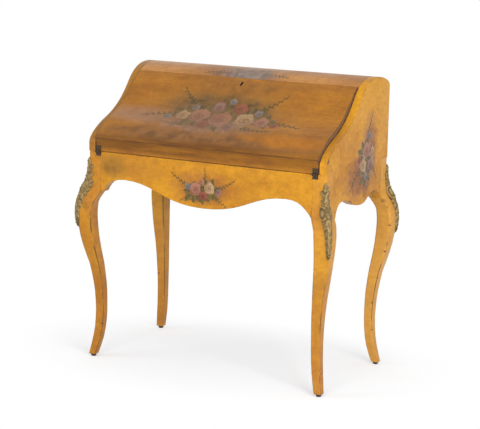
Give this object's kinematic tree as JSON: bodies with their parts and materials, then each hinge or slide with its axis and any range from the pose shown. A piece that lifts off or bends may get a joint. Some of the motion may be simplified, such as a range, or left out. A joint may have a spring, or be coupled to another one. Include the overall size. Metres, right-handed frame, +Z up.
{
  "type": "fall-front writing desk",
  "caption": "Lady's writing desk with a serpentine fall front, shaped aprons and slender cabriole legs with cast knee mounts; the fall drops to a writing surface over inner drawers.",
  "frame": {"origin": "on the floor under the middle of the case", "axes": "+X to the viewer's right, +Y to the back, +Z up; the fall faces -Y"},
  "size_m": [0.9188, 0.5088, 0.9495],
  "materials": {
    "painted_wood": "aged golden varnish over painted ground",
    "bare_wood": "waxed inner wood",
    "gilt_bronze": "old gilt bronze, rubbed on the high parts",
    "dark_iron": "dark oxide",
    "brass": "dull brass",
    "leather": "worn brown writing leather"
  },
  "bodies": {
    "carcase": {"top_board": "painted_wood", "left_side_panel": "painted_wood", "right_side_panel": "painted_wood", "front_apron": "painted_wood", "back_apron": "painted_wood", "front_left_leg": "painted_wood", "front_right_leg": "painted_wood", "back_left_leg": "painted_wood", "back_right_leg": "painted_wood", "back_panel": "bare_wood", "writing_bed": "bare_wood", "left_bed_ledger": "bare_wood", "right_bed_ledger": "bare_wood", "front_bed_ledger": "bare_wood", "left_fall_stop": "bare_wood", "right_fall_stop": "bare_wood", "pigeonhole_shelf": "bare_wood", "left_drawer_partition": "bare_wood", "right_drawer_partition": "bare_wood", "left_pigeonhole_divider": "bare_wood", "right_pigeonhole_divider": "bare_wood", "front_left_apron_knee_block": "bare_wood", "front_left_skirt_knee_block": "bare_wood", "front_right_apron_knee_block": "bare_wood", "front_right_skirt_knee_block": "bare_wood", "back_left_apron_knee_block": "bare_wood", "back_left_skirt_knee_block": "bare_wood", "back_right_apron_knee_block": "bare_wood", "back_right_skirt_knee_block": "bare_wood", "front_left_knee_mount": "gilt_bronze", "front_right_knee_mount": "gilt_bronze", "back_left_knee_mount": "gilt_bronze", "back_right_knee_mount": "gilt_bronze", "front_left_glide": "dark_iron", "front_right_glide": "dark_iron", "back_left_glide": "dark_iron", "back_right_glide": "dark_iron", "left_hinge_fixed_leaf": "dark_iron", "left_hinge_pin": "dark_iron", "right_hinge_fixed_leaf": "dark_iron", "right_hinge_pin": "dark_iron", "strike_plate": "brass"},
    "fall": {"fall_panel": "painted_wood", "writing_leather": "leather", "lock_case": "brass", "left_hinge_moving_leaf": "dark_iron", "right_hinge_moving_leaf": "dark_iron"},
    "lock_bolt": {"lock_bolt": "brass"},
    "left_drawer": {"left_drawer_front": "bare_wood", "left_drawer_box": "bare_wood", "left_drawer_knob": "brass"},
    "centre_drawer": {"centre_drawer_front": "bare_wood", "centre_drawer_box": "bare_wood", "centre_drawer_knob": "brass"},
    "right_drawer": {"right_drawer_front": "bare_wood", "right_drawer_box": "bare_wood", "right_drawer_knob": "brass"}
  },
  "joints": [
    {"name": "fall_hinge", "type": "hinge", "parent": "carcase", "child": "fall", "pos_m": [0, -0.2248, 0.68575], "axis": [1, 0, 0], "range_deg": [0, 138.19]},
    {"name": "lock_bolt_slide", "type": "slide", "parent": "fall", "child": "lock_bolt", "axis": [0, 0.7454, 0.6667], "range_m": [0, 0.008]},
    {"name": "left_drawer_slide", "type": "slide", "parent": "carcase", "child": "left_drawer", "axis": [0, -1, 0], "range_m": [0, 0.1]},
    {"name": "centre_drawer_slide", "type": "slide", "parent": "carcase", "child": "centre_drawer", "axis": [0, -1, 0], "range_m": [0, 0.1]},
    {"name": "right_drawer_slide", "type": "slide", "parent": "carcase", "child": "right_drawer", "axis": [0, -1, 0], "range_m": [0, 0.1]}
  ]
}
